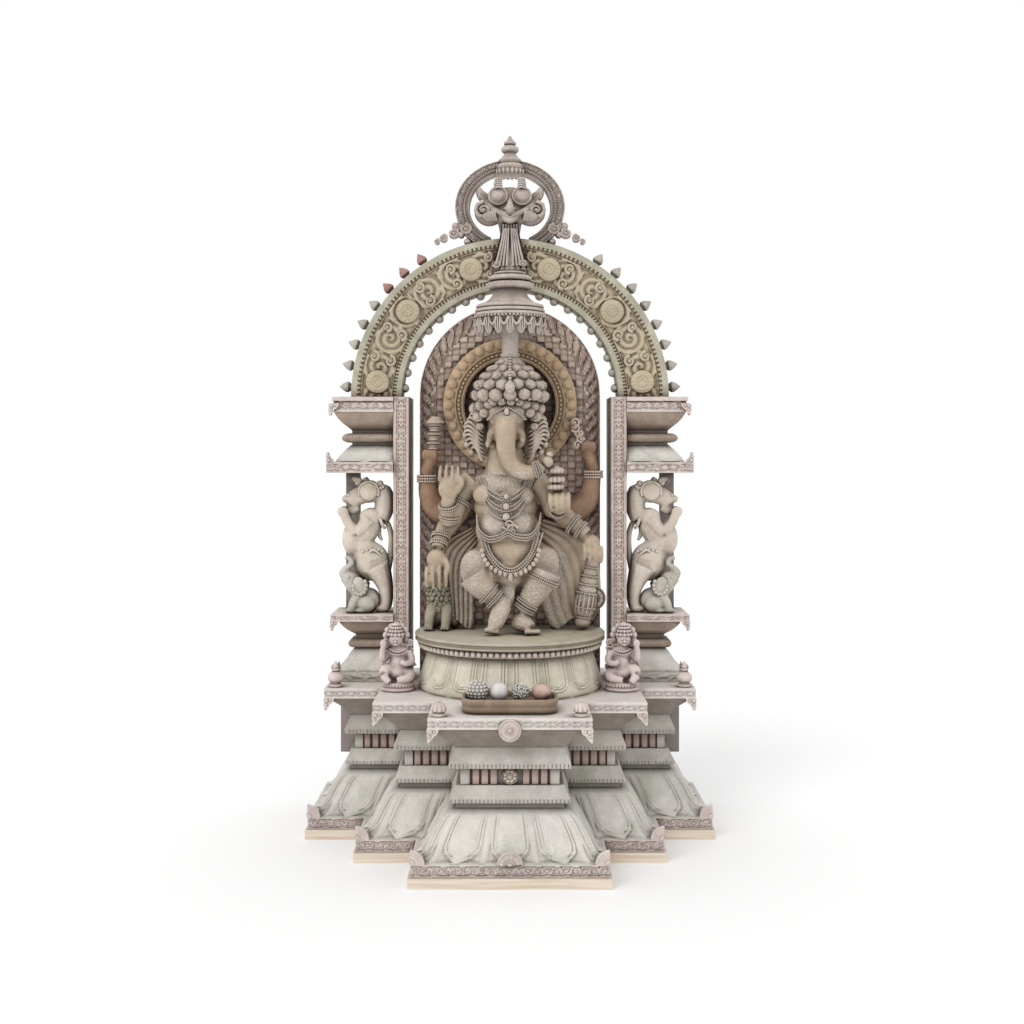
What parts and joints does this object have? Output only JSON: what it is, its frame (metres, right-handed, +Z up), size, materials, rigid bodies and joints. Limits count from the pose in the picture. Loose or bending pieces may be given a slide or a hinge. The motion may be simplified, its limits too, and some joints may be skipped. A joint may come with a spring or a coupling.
{
  "type": "ganesha idol",
  "caption": "Carved stone shrine: elephant-headed figure under an umbrella and a round arch between two pillars, on a stepped base on wooden planks.",
  "frame": {"origin": "under the middle of the shrine's footprint, on the ground", "axes": "+Z up, -Y the front that the figure faces, +X to the viewer's right"},
  "size_m": [1.66, 1.18, 2.923],
  "materials": {
    "pine": "sawn softwood with knots",
    "pale_stone": "carved, matt, pale grey-green",
    "pink_stone": "carved, matt, pinkish mauve",
    "khaki_stone": "carved, matt, khaki",
    "brown_stone": "carved and rubbed smooth, warm grey-brown",
    "rust_stone": "rubbed smooth, rust brown",
    "mauve_stone": "carved relief, mauve-brown",
    "white_stone": "carved, matt, pale",
    "tray_stone": "rubbed smooth, olive-brown"
  },
  "bodies": {
    "root": {"abacus_slabs": "pink_stone", "arch_inner_buds": "khaki_stone", "arch_medallions": "khaki_stone", "arch_outer_buds": "khaki_stone", "back_plate": "mauve_stone", "bead_ring": "pale_stone", "canopy_slabs": "pink_stone", "crest_finial": "pink_stone", "crest_ring": "pink_stone", "crown": "brown_stone", "elephants": "pink_stone", "figure": "brown_stone", "figure_plate": "pale_stone", "flame_tongue": "pink_stone", "front_cornice": "pale_stone", "front_dado": "pale_stone", "front_deck_slab": "pale_stone", "front_lotus_course": "pale_stone", "front_medallions": "pink_stone", "front_plank": "pine", "halo_ring": "mauve_stone", "kalasha_finials": "pink_stone", "left_arch_half": "khaki_stone", "left_capital": "pale_stone", "left_pillar_pedestal": "pale_stone", "left_pillar_post": "pink_stone", "left_yali": "pink_stone", "lion_mask": "pink_stone", "lotus_bud_finials": "pink_stone", "lotus_pedestal": "pale_stone", "mace": "brown_stone", "middle_cornice": "pale_stone", "middle_dado": "pale_stone", "middle_deck_slab": "pale_stone", "middle_lotus_course": "pale_stone", "middle_plank": "pine", "niche_posts": "pink_stone", "rear_arms": "rust_stone", "rear_backing_slab": "pink_stone", "rear_cornice": "pale_stone", "rear_dado": "pale_stone", "rear_deck_slab": "pale_stone", "rear_lotus_course": "pale_stone", "rear_plank": "pine", "right_arch_half": "khaki_stone", "right_capital": "pale_stone", "right_pillar_pedestal": "pale_stone", "right_pillar_post": "pink_stone", "right_yali": "pink_stone", "umbrella": "pink_stone", "vahana": "brown_stone", "yali_slabs": "pink_stone"},
    "tray": {"offering_tray": "tray_stone"},
    "left_attendant": {"left_attendant": "pink_stone"},
    "right_attendant": {"right_attendant": "pink_stone"},
    "custard_apple": {"custard_apple": "white_stone"},
    "coconut": {"coconut": "white_stone"},
    "flower_heap": {"flower_heap": "white_stone"},
    "pomegranate": {"pomegranate": "rust_stone"}
  },
  "joints": [
    {"name": "tray_lift", "type": "slide", "parent": "root", "child": "tray", "axis": [0, 0, 1], "range_m": [0, 0.25]},
    {"name": "left_attendant_lift", "type": "slide", "parent": "root", "child": "left_attendant", "axis": [0, 0, 1], "range_m": [0, 0.3]},
    {"name": "right_attendant_lift", "type": "slide", "parent": "root", "child": "right_attendant", "axis": [0, 0, 1], "range_m": [0, 0.3]},
    {"name": "custard_apple_lift", "type": "slide", "parent": "tray", "child": "custard_apple", "axis": [0, 0, 1], "range_m": [0, 0.12]},
    {"name": "coconut_lift", "type": "slide", "parent": "tray", "child": "coconut", "axis": [0, 0, 1], "range_m": [0, 0.12]},
    {"name": "flower_heap_lift", "type": "slide", "parent": "tray", "child": "flower_heap", "axis": [0, 0, 1], "range_m": [0, 0.12]},
    {"name": "pomegranate_lift", "type": "slide", "parent": "tray", "child": "pomegranate", "axis": [0, 0, 1], "range_m": [0, 0.12]}
  ]
}
